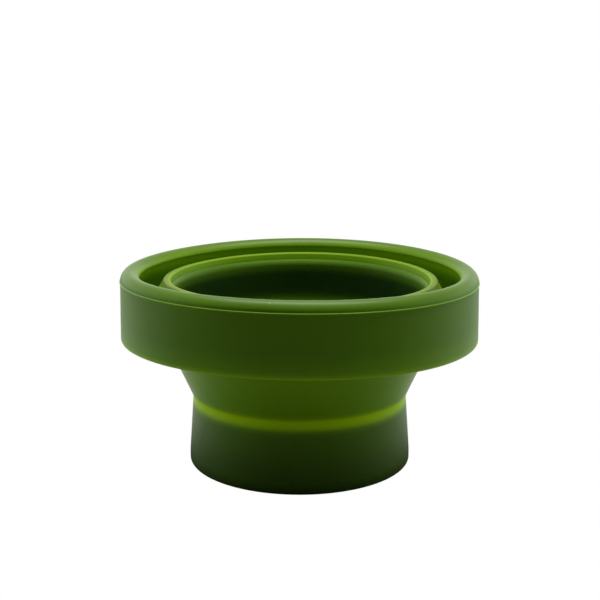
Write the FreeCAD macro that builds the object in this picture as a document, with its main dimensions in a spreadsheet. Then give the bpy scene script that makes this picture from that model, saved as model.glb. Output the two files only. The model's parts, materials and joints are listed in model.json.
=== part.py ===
"""Collapsible canning funnel: three stiff silicone rings joined by two folding webs.

Millimetres. The funnel's axis is Z, its base stands on z = 0 and the origin is the base's centre.
It is modelled with the lower fold open and the upper fold closed, as it stands in use. Every
sub-part is one outline turned about the axis, and the outlines share their corners, so that
neighbours in one ring meet face to face. Webs end a small gap short of the ring that they fold with.
"""
import FreeCAD, Part
import math
import os
import re
import Sketcher

doc = FreeCAD.newDocument("CanningFunnel")

# ---------------------------------------------------------------- driving dimensions
# Radii are measured from the axis and heights from the base. A wall of a web is measured level.
SIZES = {
    # spout ring
    "spout_bore": 35.1,             # slips over a regular jar's finish
    "base_radius": 37.8,            # goes into a wide-mouth jar's opening
    "base_round": 1.1,
    "lip_height": 3.5,              # true cylinder at the spout's end
    "waist_radius": 36.35,          # outside of the bend between spout and lower web
    "waist_height": 23.35,
    "waist_round": 4.0,
    "waist_hinge_low": 21.4,
    "waist_hinge_high": 26.0,
    # lower web and middle ring
    "lower_web_wall": 2.2,
    "neck_height": 43.6,            # bend between lower web and middle ring
    "neck_round": 1.5,
    "neck_hinge_low": 42.2,
    "neck_hinge_high": 45.6,
    "middle_radius": 45.3,
    "middle_wall": 3.2,
    "middle_draft": 0.2,            # the ring's inside widens by this towards the mouth
    # crest, where the middle ring turns back down into the upper web
    "crest_radius": 44.6,
    "crest_top": 63.9,
    "crest_cap_width": 1.95,
    "crest_round": 0.9,
    "crest_hinge_low": 59.5,
    "shoulder_high": 61.7,
    "shoulder_low": 60.4,
    "upper_web_wall": 2.2,
    # foot of the upper web, where it turns up into the outer band
    "foot_radius": 58.3,
    "foot_height": 45.6,
    "band_bottom": 44.3,
    "band_bottom_radius": 60.15,
    "band_round": 0.8,
    "foot_round": 0.8,
    "band_hinge_high": 47.9,
    "band_wall_low": 2.1,
    "band_wall_high": 3.2,
    # rim
    "rim_radius": 60.0,             # outside of the parting ridge
    "ridge_rise": 0.2,
    "ridge_low": 63.7,
    "ridge_high": 64.3,
    "bead_width": 6.2,
    "bead_round": 3.0,
    "rim_top": 67.4,
    # thin walls of the living hinges, and the gap between rings that move apart
    "hinge_wall": 1.2,
    "fold_gap": 0.1,
}

sheet = doc.addObject("Spreadsheet::Sheet", "Sizes")
for row, (alias, size) in enumerate(SIZES.items(), start=1):
    sheet.set(f"A{row}", alias)
    sheet.set(f"B{row}", str(size))
    sheet.setAlias(f"B{row}", alias)
doc.recompute()


# ---------------------------------------------------------------- outlines and rings
def bound(text):
    """Turn a size, written with the sheet's aliases, into an expression that reads the sheet."""
    return re.sub(r"[a-z_]+", lambda word: "Sizes." + word.group(), str(text))


def outline(body, corners):
    """Sketch the closed outline through corners: (radius, height) or (radius, height, rounding)."""
    sketch = body.newObject("Sketcher::SketchObject", body.Name + "_outline")
    plane = next(item for item in body.Origin.OriginFeatures if item.Role == "XZ_Plane")
    sketch.AttachmentSupport = [(plane, "")]
    sketch.MapMode = "FlatFace"

    # a regular polygon to start from: the constraints then pull each corner to its own place
    count = len(corners)
    turns = [2 * math.pi * index / count for index in range(count)]
    starts = [FreeCAD.Vector(50 + 10 * math.cos(turn), 50 + 10 * math.sin(turn), 0) for turn in turns]
    for index, start in enumerate(starts):
        sketch.addGeometry(Part.LineSegment(start, starts[(index + 1) % count]))
    for index in range(count):
        sketch.addConstraint(Sketcher.Constraint("Coincident", index, 2, (index + 1) % count, 1))
    for index, corner in enumerate(corners):
        place(sketch, "DistanceX", index, starts[index].x, corner[0])
        if corner[1] == 0:
            sketch.addConstraint(Sketcher.Constraint("PointOnObject", index, 1, -1))
        else:
            place(sketch, "DistanceY", index, starts[index].y, corner[1])
    doc.recompute()

    for index, corner in enumerate(corners):
        if len(corner) == 3:
            arc = sketch.GeometryCount
            sketch.fillet(index, 1, SIZES[corner[2]], True, True)
            radius = sketch.addConstraint(Sketcher.Constraint("Radius", arc, SIZES[corner[2]]))
            sketch.setExpression(f"Constraints[{radius}]", bound(corner[2]))
    return sketch


def place(sketch, kind, index, start, size):
    """Hold the start of a line at a distance from the origin, with the distance bound to the sheet."""
    number = sketch.addConstraint(Sketcher.Constraint(kind, -1, 1, index, 1, start))
    sketch.setExpression(f"Constraints[{number}]", bound(size))


def ring(label, corners):
    """Turn an outline once about the axis into a sub-part of its own."""
    body = doc.addObject("PartDesign::Body", label)
    body.Label = label
    sketch = outline(body, corners)
    turned = body.newObject("PartDesign::Revolution", label + "_turned")
    turned.Profile = sketch
    turned.ReferenceAxis = (sketch, ["V_Axis"])
    turned.Angle = 360
    return body


# ---------------------------------------------------------------- slanted walls, level by level
def on_slope(height, low_radius, low_height, high_radius, high_height):
    """Radius at a height on the straight line between two points of the outline."""
    rise = f"({height} - {low_height}) / ({high_height} - {low_height})"
    return f"({low_radius} + ({high_radius} - {low_radius}) * {rise})"


def spout_outside(height):
    """Outside of the spout, which narrows from the lip up to the waist."""
    return on_slope(height, "base_radius", "lip_height", "waist_radius", "waist_height")


def lower_web_outside(height):
    """Outside of the lower web, which widens from the waist up to the neck."""
    return on_slope(height, "waist_radius", "waist_height", "middle_radius", "neck_height")


def middle_inside(height):
    """Inside of the middle ring, with its slight draft."""
    low = "(middle_radius - middle_wall - middle_draft)"
    return on_slope(height, low, "neck_hinge_high", "(middle_radius - middle_wall)", "shoulder_low")


def upper_web_side(height, side):
    """One side of the upper web: side is '+' for the outside and '-' for the inside."""
    middle = on_slope(height, "foot_radius", "foot_height", "crest_radius", "(crest_top - hinge_wall)")
    return f"({middle} {side} upper_web_wall / 2)"


def band_outside(height):
    """Outside of the outer band, which widens slightly towards its bottom."""
    return on_slope(height, "band_bottom_radius", "band_bottom", "(rim_radius - ridge_rise)", "ridge_low")


def band_inside(height):
    """Inside of the outer band, whose wall thickens towards the bead."""
    wall = on_slope(height, "band_wall_low", "band_hinge_high", "band_wall_high", "ridge_low")
    return f"({band_outside(height)} - {wall})"


# ---------------------------------------------------------------- spout ring
ring("spout_lip", [
    ("base_radius", 0, "base_round"),
    ("base_radius", "lip_height"),
    ("spout_bore", "lip_height"),
    ("spout_bore", 0),
])

ring("spout_wall", [
    ("base_radius", "lip_height"),
    (spout_outside("waist_hinge_low"), "waist_hinge_low"),
    ("spout_bore", "waist_hinge_low"),
    ("spout_bore", "lip_height"),
])

ring("waist_hinge", [
    (spout_outside("waist_hinge_low"), "waist_hinge_low"),
    ("waist_radius", "waist_height", "waist_round"),
    (lower_web_outside("waist_hinge_high"), "waist_hinge_high"),
    (lower_web_outside("waist_hinge_high") + " - lower_web_wall", "waist_hinge_high"),
    ("waist_radius - hinge_wall", "waist_height"),
    ("spout_bore", "waist_hinge_low"),
])

web_top = "neck_hinge_low - fold_gap"
ring("lower_fold_web", [
    (lower_web_outside("waist_hinge_high"), "waist_hinge_high"),
    (lower_web_outside(web_top), web_top),
    (lower_web_outside(web_top) + " - lower_web_wall", web_top),
    (lower_web_outside("waist_hinge_high") + " - lower_web_wall", "waist_hinge_high"),
])

# ---------------------------------------------------------------- middle ring
ring("neck_hinge", [
    (lower_web_outside("neck_hinge_low"), "neck_hinge_low"),
    ("middle_radius", "neck_height", "neck_round"),
    ("middle_radius", "neck_hinge_high"),
    (middle_inside("neck_hinge_high"), "neck_hinge_high"),
    ("middle_radius - hinge_wall", "neck_height"),
    (lower_web_outside("neck_hinge_low") + " - lower_web_wall", "neck_hinge_low"),
])

ring("middle_wall", [
    ("middle_radius", "neck_hinge_high"),
    ("middle_radius", "crest_hinge_low"),
    (middle_inside("crest_hinge_low"), "crest_hinge_low"),
    (middle_inside("neck_hinge_high"), "neck_hinge_high"),
])

ring("crest_hinge", [
    ("middle_radius", "crest_hinge_low"),
    ("crest_radius", "crest_top - hinge_wall"),
    (upper_web_side("crest_hinge_low", "-"), "crest_hinge_low"),
    (upper_web_side("crest_hinge_low", "+"), "crest_hinge_low"),
    ("crest_radius + crest_cap_width / 2", "crest_top", "crest_round"),
    ("crest_radius - crest_cap_width / 2", "crest_top", "crest_round"),
    ("crest_radius - crest_cap_width / 2", "shoulder_high"),
    ("middle_radius - middle_wall", "shoulder_low"),
    (middle_inside("crest_hinge_low"), "crest_hinge_low"),
])

web_foot = "band_hinge_high + fold_gap"
ring("upper_fold_web", [
    (upper_web_side(web_foot, "+"), web_foot),
    (upper_web_side("crest_hinge_low", "+"), "crest_hinge_low"),
    (upper_web_side("crest_hinge_low", "-"), "crest_hinge_low"),
    (upper_web_side(web_foot, "-"), web_foot),
])

# ---------------------------------------------------------------- rim ring
ring("band_hinge", [
    (band_outside("band_hinge_high"), "band_hinge_high"),
    ("band_bottom_radius", "band_bottom", "band_round"),
    (upper_web_side("band_bottom", "-"), "band_bottom", "foot_round"),
    (upper_web_side("band_hinge_high", "-"), "band_hinge_high"),
    (upper_web_side("band_hinge_high", "+"), "band_hinge_high"),
    ("foot_radius", "band_bottom + hinge_wall"),
    (band_inside("band_hinge_high"), "band_hinge_high"),
])

ring("outer_band", [
    (band_outside("band_hinge_high"), "band_hinge_high"),
    (band_outside("ridge_low"), "ridge_low"),
    (band_inside("ridge_low"), "ridge_low"),
    (band_inside("band_hinge_high"), "band_hinge_high"),
])

ring("parting_ridge", [
    ("rim_radius", "ridge_low"),
    ("rim_radius", "ridge_high"),
    (band_inside("ridge_low"), "ridge_high"),
    (band_inside("ridge_low"), "ridge_low"),
])

bead_outside = "rim_radius - ridge_rise"
ring("rim_bead", [
    (bead_outside, "ridge_high"),
    (bead_outside, "rim_top", "bead_round"),
    (bead_outside + " - bead_width", "rim_top", "bead_round"),
    (bead_outside + " - bead_width", "ridge_high"),
])

# ---------------------------------------------------------------- checks and export
doc.recompute()
failed = [item.Label for item in doc.Objects if {"Invalid", "Error"} & set(item.State)]
if failed:
    raise RuntimeError("these objects failed: " + ", ".join(failed))

bodies = [item for item in doc.Objects if item.TypeId == "PartDesign::Body"]
for body in bodies:
    if body.Shape.isNull() or not body.Shape.isValid() or len(body.Shape.Solids) != 1:
        raise RuntimeError(body.Label + " isn't one valid solid")

os.makedirs("parts", exist_ok=True)
for body in bodies:
    body.Shape.exportStep(f"parts/{body.Label}.step")
    box = body.Shape.optimalBoundingBox()
    print(f"{body.Label}: radius {box.XMax:.2f}, z {box.ZMin:.2f} to {box.ZMax:.2f},"
          f" {body.Shape.Volume / 1000:.2f} cm3")
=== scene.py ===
"""Looks of the collapsible canning funnel: fine lathed silicone skins over the CAD rings and webs."""
import json
import math

import bpy
import numpy as np
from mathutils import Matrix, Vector

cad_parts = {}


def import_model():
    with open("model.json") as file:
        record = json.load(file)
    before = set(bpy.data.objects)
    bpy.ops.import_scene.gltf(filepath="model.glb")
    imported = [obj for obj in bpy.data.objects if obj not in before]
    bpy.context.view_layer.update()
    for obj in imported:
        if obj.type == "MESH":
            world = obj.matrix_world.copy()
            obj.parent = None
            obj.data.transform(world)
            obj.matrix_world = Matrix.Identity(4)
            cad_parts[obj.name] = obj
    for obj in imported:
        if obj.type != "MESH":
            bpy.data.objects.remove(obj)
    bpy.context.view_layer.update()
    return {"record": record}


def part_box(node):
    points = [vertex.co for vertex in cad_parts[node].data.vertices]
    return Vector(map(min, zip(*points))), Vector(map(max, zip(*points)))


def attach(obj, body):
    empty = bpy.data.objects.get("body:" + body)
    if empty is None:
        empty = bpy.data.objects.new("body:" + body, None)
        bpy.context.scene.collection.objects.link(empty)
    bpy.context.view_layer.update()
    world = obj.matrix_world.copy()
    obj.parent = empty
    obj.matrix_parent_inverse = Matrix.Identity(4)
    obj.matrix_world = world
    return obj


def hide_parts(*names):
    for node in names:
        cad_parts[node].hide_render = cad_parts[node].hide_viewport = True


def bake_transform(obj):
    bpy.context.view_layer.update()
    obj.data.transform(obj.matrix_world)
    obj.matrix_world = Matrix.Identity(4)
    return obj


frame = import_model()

MM = 0.001

# ---------------------------------------------------------------- sizes read from the frame, in mm


def low(node):
    """Lowest height of a CAD node."""
    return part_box(node)[0][2] / MM


def high(node):
    """Greatest height of a CAD node."""
    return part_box(node)[1][2] / MM


def outside(node):
    """Greatest radius of a CAD node."""
    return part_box(node)[1][0] / MM


LIP_TOP = high("spout_lip")
WAIST_LOW, WAIST_HIGH = low("waist_hinge"), high("waist_hinge")
NECK_LOW, NECK_HIGH = low("neck_hinge"), high("neck_hinge")
CREST_LOW, CREST_TOP = low("crest_hinge"), high("crest_hinge")
FOOT_LOW, FOOT_HIGH = low("band_hinge"), high("band_hinge")
RIDGE_LOW, RIDGE_HIGH = low("parting_ridge"), high("parting_ridge")
RIM_TOP = high("rim_bead")

BASE_RADIUS = outside("spout_lip")
MIDDLE_RADIUS = outside("middle_wall")
RIM_RADIUS = outside("parting_ridge")
BEAD_RADIUS = outside("rim_bead")

# Bends and walls of the section, which no node's box shows. A pair is (radius, height).
BASE_SEAM = (36.4, 0)                       # where the two skins meet under the spout
BORE = 35.1                                 # inside of the spout
WAIST = (36.35, 23.35)                      # outer bend between the spout and the lower cone
NECK = (MIDDLE_RADIUS, 43.6)                # outer bend between the lower cone and the middle ring
NECK_BORE, MIDDLE_BORE = 41.9, 42.08        # inside of the middle ring, at its bottom and further up
SHOULDER_LOW, SHOULDER_HIGH = 60.2, 61.6    # round step inside the crest
CREST_RADIUS, CAP_WIDTH = 44.6, 1.95        # middle and width of the crest's top
FOOT = (58.3, FOOT_LOW + 1.2)               # bottom of the groove
FOOT_SEAM = 58.72                           # where the upper web ends under the band
BAND_RADIUS, BAND_BORE = 60.13, 56.9        # outside of the band's bottom and inside of its top
BEAD_WIDTH, BEAD_APEX = 6.2, 56.9           # width of the bead and the radius of its top
WEB_WALL, HINGE_WALL = 2.2, 1.2


def between(start, end, height):
    """Point at a height on the straight line between two points of the section."""
    part = (height - start[1]) / (end[1] - start[1])
    return (start[0] + (end[0] - start[0]) * part, height)


# ---------------------------------------------------------------- the section: two skins of one wall
# Each skin runs from the base to the top of the rim. A corner is (radius, height, rounding, last piece),
# where the piece named last ends at that corner, in the middle of its rounding if it has one.
BEAD_STEPS = 14
BEAD_POWER = 1.9    # 2 would be an ellipse


def bead_side(edge, low_height):
    """Corners of one side of the bead: a quarter of a superellipse from its upright edge up to its apex."""
    corners = []
    for step in range(1, BEAD_STEPS + 1):
        turn = math.pi / 2 * step / BEAD_STEPS
        out, up = math.cos(turn) ** (2 / BEAD_POWER), math.sin(turn) ** (2 / BEAD_POWER)
        corners.append((BEAD_APEX + (edge - BEAD_APEX) * out, low_height + (RIM_TOP - low_height) * up))
    return corners


def outside_skin():
    """The skin that faces out and down."""
    spout = ((BASE_RADIUS, LIP_TOP), WAIST)
    cone = (WAIST, NECK)
    band_low, band_high = (BAND_RADIUS, FOOT_LOW), (BEAD_RADIUS, RIDGE_LOW)
    *bead, bead_top = bead_side(BEAD_RADIUS, RIDGE_HIGH)
    return [
        BASE_SEAM,
        (BASE_RADIUS, 0, 1.1),
        (BASE_RADIUS, LIP_TOP, 20, "spout_lip"),
        (*between(*spout, WAIST_LOW), 0, "spout_wall"),
        (*WAIST, 4.0),
        (*between(*cone, WAIST_HIGH), 0, "waist_hinge"),
        (*between(*cone, NECK_LOW), 0, "lower_fold_web"),
        (*NECK, 1.5),
        (MIDDLE_RADIUS, NECK_HIGH, 0, "neck_hinge"),
        (MIDDLE_RADIUS, CREST_LOW, 0, "middle_wall"),
        (CREST_RADIUS + 0.3, CREST_TOP - HINGE_WALL, 0.2, "crest_hinge"),
        (FOOT[0] - 0.1, FOOT_LOW, 0.8),
        (FOOT_SEAM, FOOT_LOW, 0, "upper_fold_web"),
        (BAND_RADIUS, FOOT_LOW, 0.8),
        (*between(band_low, band_high, FOOT_HIGH), 0, "band_hinge"),
        (*band_high, 0.05, "outer_band"),
        (RIM_RADIUS, RIDGE_LOW + 0.15, 0.12),
        (RIM_RADIUS, RIDGE_LOW + 0.4, 0.12),
        (BEAD_RADIUS, RIDGE_HIGH, 0, "parting_ridge"),
        *bead,
        (*bead_top, 0, "rim_bead"),
    ]


def inside_skin():
    """The skin that faces in and up, which the food runs over."""
    cone = ((WAIST[0] - WEB_WALL, WAIST[1]), (NECK[0] - WEB_WALL, NECK[1]))
    cap_in, cap_out = CREST_RADIUS - CAP_WIDTH / 2, CREST_RADIUS + CAP_WIDTH / 2
    web = (FOOT[0] + WEB_WALL / 2, FOOT[1]), (CREST_RADIUS + WEB_WALL / 2, CREST_TOP - HINGE_WALL)
    bead_inside = BEAD_RADIUS - BEAD_WIDTH
    *bead, bead_top = bead_side(bead_inside, RIDGE_HIGH + 0.4)
    return [
        BASE_SEAM,
        (BORE, 0, 0.5),
        (BORE, LIP_TOP, 0, "spout_lip"),
        (BORE, WAIST_LOW, 0, "spout_wall"),
        (WAIST[0] - HINGE_WALL, WAIST[1] + 0.2, 2.0),
        (*between(*cone, WAIST_HIGH), 0.5, "waist_hinge"),
        (*between(*cone, NECK_LOW), 0.8, "lower_fold_web"),
        (MIDDLE_RADIUS - HINGE_WALL, NECK[1], 0.8),
        (NECK_BORE, NECK_HIGH, 0.9, "neck_hinge"),
        (MIDDLE_BORE, SHOULDER_LOW - 3, 0, "middle_wall"),
        (MIDDLE_BORE, SHOULDER_LOW, 3),
        (MIDDLE_BORE + 1, SHOULDER_HIGH, 0.6, "crest_hinge"),
        (cap_in, CREST_TOP, 0.7),
        (cap_out + 0.2, CREST_TOP, 0.6),
        between(*web, CREST_LOW),
        between(*web, FOOT_HIGH),
        (*FOOT, 0.25, "upper_fold_web"),
        (BAND_RADIUS - 2.1, FOOT_HIGH, 0, "band_hinge"),
        (BAND_BORE, RIDGE_LOW - 6, 3, "outer_band"),
        (bead_inside + 1, RIDGE_LOW - 0.6, 0.5, "parting_ridge"),
        (bead_inside, RIDGE_HIGH + 0.4, 0.6),
        *bead,
        (*bead_top, 0, "rim_bead"),
    ]


ARC_STEP = 16       # a rounding gets two steps for each of these, in degrees
WALL_STEP = 1.2     # longest step along a straight wall, in mm


def rounded(before, corner, after, radius):
    """Points of the arc that rounds a corner, an odd number so that one is its middle."""
    here = Vector(corner)
    back, on = (Vector(before) - here).normalized(), (Vector(after) - here).normalized()
    turn = math.pi - back.angle(on)
    reach = radius * math.tan(turn / 2)
    start, end = here + back * reach, here + on * reach
    centre = here + (back + on).normalized() * (radius / math.cos(turn / 2))
    middle = (here - centre).normalized()
    steps = 2 * max(1, math.ceil(math.degrees(turn) / ARC_STEP))
    arc = []
    for step in range(steps + 1):
        share = turn * (step / steps - 0.5)
        spot = Vector((
            middle.x * math.cos(share) - middle.y * math.sin(share),
            middle.x * math.sin(share) + middle.y * math.cos(share)))
        arc.append(centre + spot * radius)
    if (arc[0] - start).length > (arc[-1] - start).length:
        arc.reverse()
    return arc


def stretches(corners):
    """Split a skin into one list of points for each piece, closely spaced along straight walls."""
    found, points = {}, [Vector(corners[0][:2])]
    for index in range(1, len(corners)):
        corner = corners[index]
        radius = corner[2] if len(corner) > 2 else 0
        if radius:
            arc = rounded(corners[index - 1][:2], corner[:2], corners[index + 1][:2], radius)
        else:
            arc = [Vector(corner[:2])]
        start, length = points[-1], (arc[0] - points[-1]).length
        steps = max(1, math.ceil(length / WALL_STEP))
        points += [start.lerp(arc[0], step / steps) for step in range(1, steps + 1)]
        if len(corner) == 4:
            middle = len(arc) // 2
            points += arc[1:middle + 1]
            found[corner[3]] = points
            points = [points[-1]] + arc[middle + 1:]
        else:
            points += arc[1:]
    return found


# ---------------------------------------------------------------- looks that vary over the section
def along(place, *pairs):
    """Value at a place on the broken line through pairs of (place, value)."""
    places, values = zip(*pairs)
    return np.interp(place, places, values)


def painted_glow_and_shade(radius, height):
    """Painted glow and shade: how light the silicone's colour is made, from 0 in the darkest walls to 1 in
    the thinnest hinges, where the lightness is painted glow of light shining through the wall.

    The core is the spout and the middle ring, and what lies outside them is the rim.
    """
    # Painted shade darkens the spout towards its base and the deep inside of the middle ring; painted glow
    # lightens the thin lower cone.
    stack = along(
        height, (0, 0.08), (LIP_TOP, 0.22), (WAIST_LOW - 2, 0.33), (WAIST_HIGH, 0.52), (NECK_LOW, 0.6),
        (NECK_HIGH, 0.02), (SHOULDER_LOW - 3.4, 0.02), (SHOULDER_LOW - 1.4, 0.26), (SHOULDER_HIGH, 0.2),
        (CREST_TOP, 0.12))
    wall = along(height, (NECK_LOW, 0.5), (NECK_HIGH, 0.36), (CREST_LOW, 0.36), (CREST_TOP, 0))
    core = max(stack, wall * along(radius, (MIDDLE_BORE + 1, 0), (MIDDLE_RADIUS - 0.2, 1)))
    rim = along(height, (FOOT_LOW, 0.5), (FOOT_HIGH + 4, 0.39), (RIDGE_HIGH, 0.4), (RIM_TOP, 0.19))
    total = along(radius, (CREST_RADIUS + 0.5, core), (CREST_RADIUS + 3, rim))
    painted_glows = [               # painted glows of light through the thin wall: radius and height of the centre, reach in mm, strength
        (WAIST[0] + 0.2, WAIST[1] - 0.6, 1.8, 0.76),
        (NECK[0] - 3, NECK[1] + 1.4, 2.6, 0.6),
        (CREST_RADIUS - 0.7, CREST_TOP - 1.0, 1.5, 0.34),
        (BEAD_RADIUS - 6, RIDGE_LOW - 1, 2.6, 0.25),
        (FOOT[0] + 1.7, FOOT_LOW, 1.2, 0.24),
        (RIM_RADIUS, (RIDGE_LOW + RIDGE_HIGH) / 2, 0.3, 0.12),
    ]
    for at_radius, at_height, reach, strength in painted_glows:
        away = math.hypot(radius - at_radius, height - at_height) / reach
        total += strength * math.exp(-away * away)
    return min(1.0, total)


def gloss(radius, height):
    """Specular level: the bends at the waist and the crest shine less than the walls."""
    crest = math.hypot(radius - CREST_RADIUS, height - CREST_TOP) / 1.6
    waist = math.hypot(radius - WAIST[0], height - WAIST[1]) / 2
    return 0.2 * (1 - 0.8 * math.exp(-crest * crest) - 0.85 * math.exp(-waist * waist))


def warmth(radius, height):
    """How far green turns to olive: fully on the crest, where it yellows the painted glow of the thin hinge,
    less in the groove and on the bead.
    """
    crest = along(height, (CREST_LOW, 0), (CREST_TOP - 1, 1))
    across = along(
        radius, (CREST_RADIUS - 1.6, 0), (CREST_RADIUS - 0.6, crest), (CREST_RADIUS + 1, crest),
        (CREST_RADIUS + 3, 0.45), (BEAD_RADIUS - 1.5, 0.4), (BEAD_RADIUS - 0.5, 0))
    return across * along(height, (FOOT_HIGH, 0), (FOOT_HIGH + 2, 1))


# ---------------------------------------------------------------- lathed pieces
SEGMENTS = 240
SLUMP = 0.57        # the least that makes the whole wave a drop, in mm
LEAN = 0.3          # greatest shift of the middle ring's top, in mm


def slump(radius, height, angle):
    """How far a point of the soft upper rings has sunk, in mm. The wave makes the rim a slight saddle."""
    wave = -0.24 * math.cos(angle) - 0.45 * math.cos(2 * angle) + 0.23 * math.sin(2 * angle)
    part = along(height, (WAIST_HIGH, 0), (FOOT_LOW, 1))
    return part * part * (3 - 2 * part) * radius / RIM_RADIUS * (SLUMP - wave)


def lean(radius, height):
    """How far a point of the middle ring's top has shifted to the right, in mm."""
    up = along(height, (NECK_HIGH, 0), (CREST_TOP, 1))
    return LEAN * up * along(radius, (CREST_RADIUS + CAP_WIDTH, 1), (FOOT[0] - 2, 0))


def lathe(name, outline, caps):
    """Turn a closed outline in mm into a smooth mesh in metres. caps are the outline edges left sharp."""
    count = len(outline)
    vertices = []
    for turn in range(SEGMENTS):
        angle = 2 * math.pi * turn / SEGMENTS
        cosine, sine = math.cos(angle), math.sin(angle)
        for radius, height in outline:
            across, up = lean(radius, height), -slump(radius, height, angle)
            vertices.append(Vector((radius * cosine + across, radius * sine, height + up)) * MM)
    faces = []
    for turn in range(SEGMENTS):
        here, there = turn * count, (turn + 1) % SEGMENTS * count
        for index in range(count):
            after = (index + 1) % count
            faces.append((here + index, there + index, there + after, here + after))
    mesh = bpy.data.meshes.new(name)
    mesh.from_pydata(vertices, [], faces)
    mesh.validate()
    mesh.shade_smooth()
    sharp = mesh.attributes.new("sharp_edge", "BOOLEAN", "EDGE")
    flags = [False] * len(mesh.edges)
    for edge in mesh.edges:
        first, second = edge.vertices
        if first // count != second // count and first % count in caps:
            flags[edge.index] = True
    sharp.data.foreach_set("value", flags)
    for look in (painted_glow_and_shade, gloss, warmth):
        values = [look(*corner) for corner in outline] * SEGMENTS
        mesh.attributes.new(look.__name__, "FLOAT", "POINT").data.foreach_set("value", values)
    rest = np.array(vertices, np.float32).ravel()
    mesh.attributes.new("rest_place", "FLOAT_VECTOR", "POINT").data.foreach_set("vector", rest)
    piece = bpy.data.objects.new(name, mesh)
    bpy.context.collection.objects.link(piece)
    return piece


def piece_between_skins(name, out, inn):
    """Close the wall between the two skins' stretches of one piece and turn it."""
    outline = list(out)
    caps = []
    if (out[-1] - inn[-1]).length > 1e-6:
        caps += [len(outline) - 1, len(outline)]
        outline += list(reversed(inn))
    else:
        outline += list(reversed(inn))[1:]
    if (out[0] - inn[0]).length > 1e-6:
        caps += [0, len(outline) - 1]
    else:
        outline.pop()
    return lathe(name, [tuple(point) for point in outline], set(caps))


out_stretches, in_stretches = stretches(outside_skin()), stretches(inside_skin())
pieces = {
    name: piece_between_skins(name + "_skin", out_stretches[name], in_stretches[name])
    for name in out_stretches
}

# ---------------------------------------------------------------- which body each piece follows
LOWER_BEND = ("waist_hinge", "lower_fold_web", "neck_hinge")
for body, nodes in frame["record"]["behaviour"]["bodies"].items():
    for node in nodes:
        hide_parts(node)
        if node not in (*LOWER_BEND, "upper_fold_web"):
            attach(pieces[node], body)
for node in LOWER_BEND:
    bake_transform(pieces[node])
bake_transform(pieces["upper_fold_web"])


# ---------------------------------------------------------------- silicone
def add(tree, kind, place, **inputs):
    """Add a shader node with some of its inputs set. An underscore stands for a space in an input's name."""
    node = tree.nodes.new(kind)
    node.location = place
    for name, value in inputs.items():
        node.inputs[name.replace("_", " ")].default_value = value
    return node


def link(tree, *ends):
    """Link output to input, for pairs of sockets given one after the other."""
    for start, end in zip(ends[::2], ends[1::2]):
        tree.links.new(start, end)


def spread(tree, place, value, low, high):
    """Map a value that runs from 0 to 1 onto the range from low to high."""
    node = add(tree, "ShaderNodeMapRange", place, To_Min=low, To_Max=high)
    link(tree, value, node.inputs["Value"])
    return node.outputs["Result"]


def attribute(tree, name, place):
    """Node that reads one of the values stored at the mesh's points."""
    node = add(tree, "ShaderNodeAttribute", place)
    node.attribute_name = name
    return node


def silicone_colour(tree, spot):
    """Colour that follows the mesh's painted glow and shade and its warmth, a little cloudy, with a few
    specks of lint.
    """
    cloud = add(tree, "ShaderNodeTexNoise", (-1500, 100), Scale=45, Detail=3)
    mottled = add(tree, "ShaderNodeMath", (-1100, 300))
    mottled.operation = "ADD"
    link(tree, spot, cloud.inputs["Vector"],
         attribute(tree, "painted_glow_and_shade", (-1500, 300)).outputs["Fac"], mottled.inputs[0],
         spread(tree, (-1300, 100), cloud.outputs["Fac"], -0.04, 0.04), mottled.inputs[1])

    shade = add(tree, "ShaderNodeValToRGB", (-900, 300))
    # Colours from the painted shade of the darkest walls up to the painted glow of the thinnest hinges.
    stops = {0: (0.002, 0.019, 0.0003), 0.26: (0.048, 0.112, 0.0002), 0.42: (0.09, 0.215, 0.0002),
             0.56: (0.142, 0.305, 0.0002), 0.7: (0.215, 0.4, 0.0003), 1: (0.37, 0.63, 0.0003)}
    ramp = shade.color_ramp
    for place in list(stops)[1:-1]:
        ramp.elements.new(place)
    for element, colour in zip(ramp.elements, stops.values()):
        element.color = (*colour, 1)

    olive = add(tree, "ShaderNodeMixRGB", (-600, 300), Color2=(1.35, 0.96, 1, 1))
    olive.blend_type = "MULTIPLY"
    link(tree, mottled.outputs["Value"], shade.inputs["Fac"],
         attribute(tree, "warmth", (-900, 500)).outputs["Fac"], olive.inputs["Fac"],
         shade.outputs["Color"], olive.inputs["Color1"])

    lint = add(tree, "ShaderNodeTexVoronoi", (-900, 700), Scale=120)
    speck = add(tree, "ShaderNodeMath", (-600, 700))
    speck.operation = "LESS_THAN"
    speck.inputs[1].default_value = 0.02
    dusted = add(tree, "ShaderNodeMixRGB", (-300, 300), Color2=(0.22, 0.32, 0.14, 1))
    link(tree, spot, lint.inputs["Vector"],
         lint.outputs["Distance"], speck.inputs[0],
         speck.outputs["Value"], dusted.inputs["Fac"],
         olive.outputs["Color"], dusted.inputs["Color1"])
    return dusted.outputs["Color"]


def turning_marks(tree, spot):
    """Noise that depends on radius and height only, like the rings that turning leaves in a mould."""
    flat = add(tree, "ShaderNodeVectorMath", (-1500, -800))
    flat.operation = "MULTIPLY"
    flat.inputs[1].default_value = (1, 1, 0)
    radius = add(tree, "ShaderNodeVectorMath", (-1300, -800))
    radius.operation = "LENGTH"
    height = add(tree, "ShaderNodeSeparateXYZ", (-1300, -1000))
    section = add(tree, "ShaderNodeCombineXYZ", (-1100, -800))
    marks = add(tree, "ShaderNodeTexNoise", (-900, -800), Scale=1800, Detail=2)
    link(tree, spot, flat.inputs[0],
         flat.outputs["Vector"], radius.inputs[0],
         spot, height.inputs["Vector"],
         radius.outputs["Value"], section.inputs["X"],
         height.outputs["Z"], section.inputs["Z"],
         section.outputs["Vector"], marks.inputs["Vector"])
    return marks.outputs["Fac"]


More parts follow.
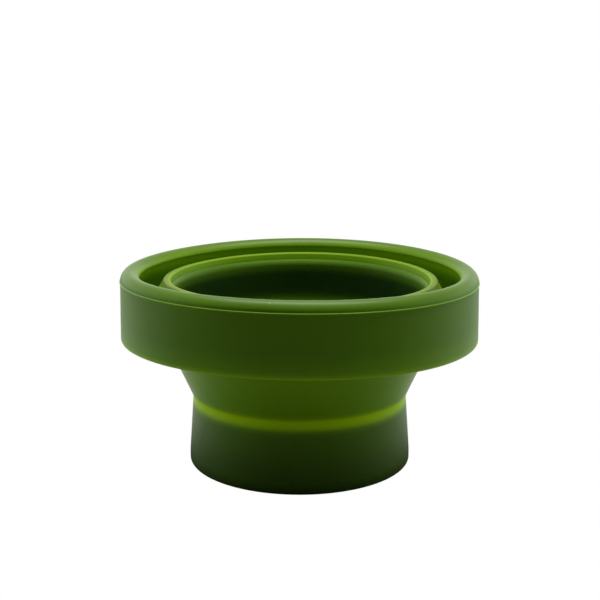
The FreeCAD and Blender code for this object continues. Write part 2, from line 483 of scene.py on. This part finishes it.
def silicone():
    """Satin olive silicone, with painted glow that makes it lighter and yellower where the wall is thin, and
    painted shade in its darkest walls.
    """
    material = bpy.data.materials.new("olive_silicone_satin")
    material.use_nodes = True
    tree = material.node_tree
    shader = tree.nodes["Principled BSDF"]
    shader.inputs["IOR"].default_value = 1.41
    spot = attribute(tree, "rest_place", (-1800, -200)).outputs["Vector"]

    grain = add(tree, "ShaderNodeTexNoise", (-900, -200), Scale=2600, Detail=4, Roughness=0.6)
    ripple = add(tree, "ShaderNodeTexNoise", (-900, -500), Scale=160, Detail=2)
    coarse = add(tree, "ShaderNodeBump", (-600, -500), Strength=0.15, Distance=0.0004)
    turned = add(tree, "ShaderNodeBump", (-400, -500), Strength=0.15, Distance=0.00008)
    fine = add(tree, "ShaderNodeBump", (-200, -500), Strength=0.3, Distance=0.00003)
    link(tree, spot, grain.inputs["Vector"],
         spot, ripple.inputs["Vector"],
         ripple.outputs["Fac"], coarse.inputs["Height"],
         turning_marks(tree, spot), turned.inputs["Height"],
         grain.outputs["Fac"], fine.inputs["Height"],
         coarse.outputs["Normal"], turned.inputs["Normal"],
         turned.outputs["Normal"], fine.inputs["Normal"])

    link(tree, silicone_colour(tree, spot), shader.inputs["Base Color"],
         spread(tree, (-400, 0), grain.outputs["Fac"], 0.4, 0.52), shader.inputs["Roughness"],
         attribute(tree, "gloss", (-400, 150)).outputs["Fac"], shader.inputs["Specular IOR Level"],
         fine.outputs["Normal"], shader.inputs["Normal"])
    return material


material = silicone()
for piece in pieces.values():
    piece.data.materials.append(material)


# ---------------------------------------------------------------- studio
def smooth(tree, place, value, start, end, low, high):
    """Map a value's run from start to end onto the range from low to high, with soft ends."""
    node = add(tree, "ShaderNodeMapRange", place, From_Min=start, From_Max=end, To_Min=low, To_Max=high)
    node.interpolation_type = "SMOOTHSTEP"
    link(tree, value, node.inputs["Value"])
    return node.outputs["Result"]


def world():
    """White to the camera. As a light it is bright low behind the object, dim above and dark in front."""
    made = bpy.data.worlds.new("studio")
    bpy.context.scene.world = made
    made.use_nodes = True
    tree = made.node_tree
    glow = tree.nodes["Background"]
    glow.inputs["Color"].default_value = (1, 1, 1, 1)
    direction = add(tree, "ShaderNodeTexCoord", (-900, 0))
    parts = add(tree, "ShaderNodeSeparateXYZ", (-700, 0))
    both = add(tree, "ShaderNodeMath", (-250, 0))
    both.operation = "MULTIPLY"
    link(tree, direction.outputs["Generated"], parts.inputs["Vector"],
         smooth(tree, (-500, 100), parts.outputs["Y"], -0.9, 0.4, 0.02, 2.1), both.inputs[0],
         smooth(tree, (-500, -200), parts.outputs["Z"], 0.1, 0.65, 1, 0.2), both.inputs[1],
         both.outputs["Value"], glow.inputs["Strength"])

    white = add(tree, "ShaderNodeBackground", (0, -200), Color=(1, 1, 1, 1), Strength=1)
    path = add(tree, "ShaderNodeLightPath", (-200, 300))
    mix = add(tree, "ShaderNodeMixShader", (300, 0))
    link(tree, path.outputs["Is Camera Ray"], mix.inputs[0],
         glow.outputs[0], mix.inputs[1],
         white.outputs[0], mix.inputs[2],
         mix.outputs[0], tree.nodes["World Output"].inputs[0])


def aimed(name, data, place, target):
    """Put a lamp or camera at a place and turn it to a target."""
    made = bpy.data.objects.new(name, data)
    made.location = place
    aim = Vector(target) - Vector(place)
    made.rotation_euler = aim.to_track_quat("-Z", "Y").to_euler()
    bpy.context.collection.objects.link(made)
    return made


def overhead():
    """One long soft light above, a little behind the object."""
    light = bpy.data.lights.new("overhead", "AREA")
    light.shape = "RECTANGLE"
    light.size, light.size_y = 0.75, 0.2
    light.energy = 18
    aimed("overhead", light, (0.02, 0.1, 0.9), (0, 0, 0.05))


def floor():
    """Floor that the camera can't see, which bounces less light in front of the object than behind it."""
    bpy.ops.mesh.primitive_plane_add(size=6, location=(0, 0, -0.0002))
    made = bpy.context.object
    made.name = "floor"
    material = bpy.data.materials.new("floor_grey")
    material.use_nodes = True
    tree = material.node_tree
    shader = tree.nodes["Principled BSDF"]
    shader.inputs["Roughness"].default_value = 0.9
    place = add(tree, "ShaderNodeTexCoord", (-900, 0))
    parts = add(tree, "ShaderNodeSeparateXYZ", (-700, 0))
    link(tree, place.outputs["Object"], parts.inputs["Vector"],
         smooth(tree, (-500, 0), parts.outputs["Y"], -0.1, 0.04, 0.12, 0.48), shader.inputs["Base Color"])
    made.data.materials.append(material)
    made.visible_camera = False


def camera():
    """A lens of medium length, above the rim, aimed at the middle of the band."""
    view = bpy.data.cameras.new("camera")
    view.lens = 67.65
    view.sensor_width = 36
    bpy.context.scene.camera = aimed("camera", view, (0.00013, -0.3729, 0.1358), (0.00013, 0, 0.05517))


world()
floor()
overhead()
camera()
bpy.context.scene.view_settings.view_transform = "Standard"
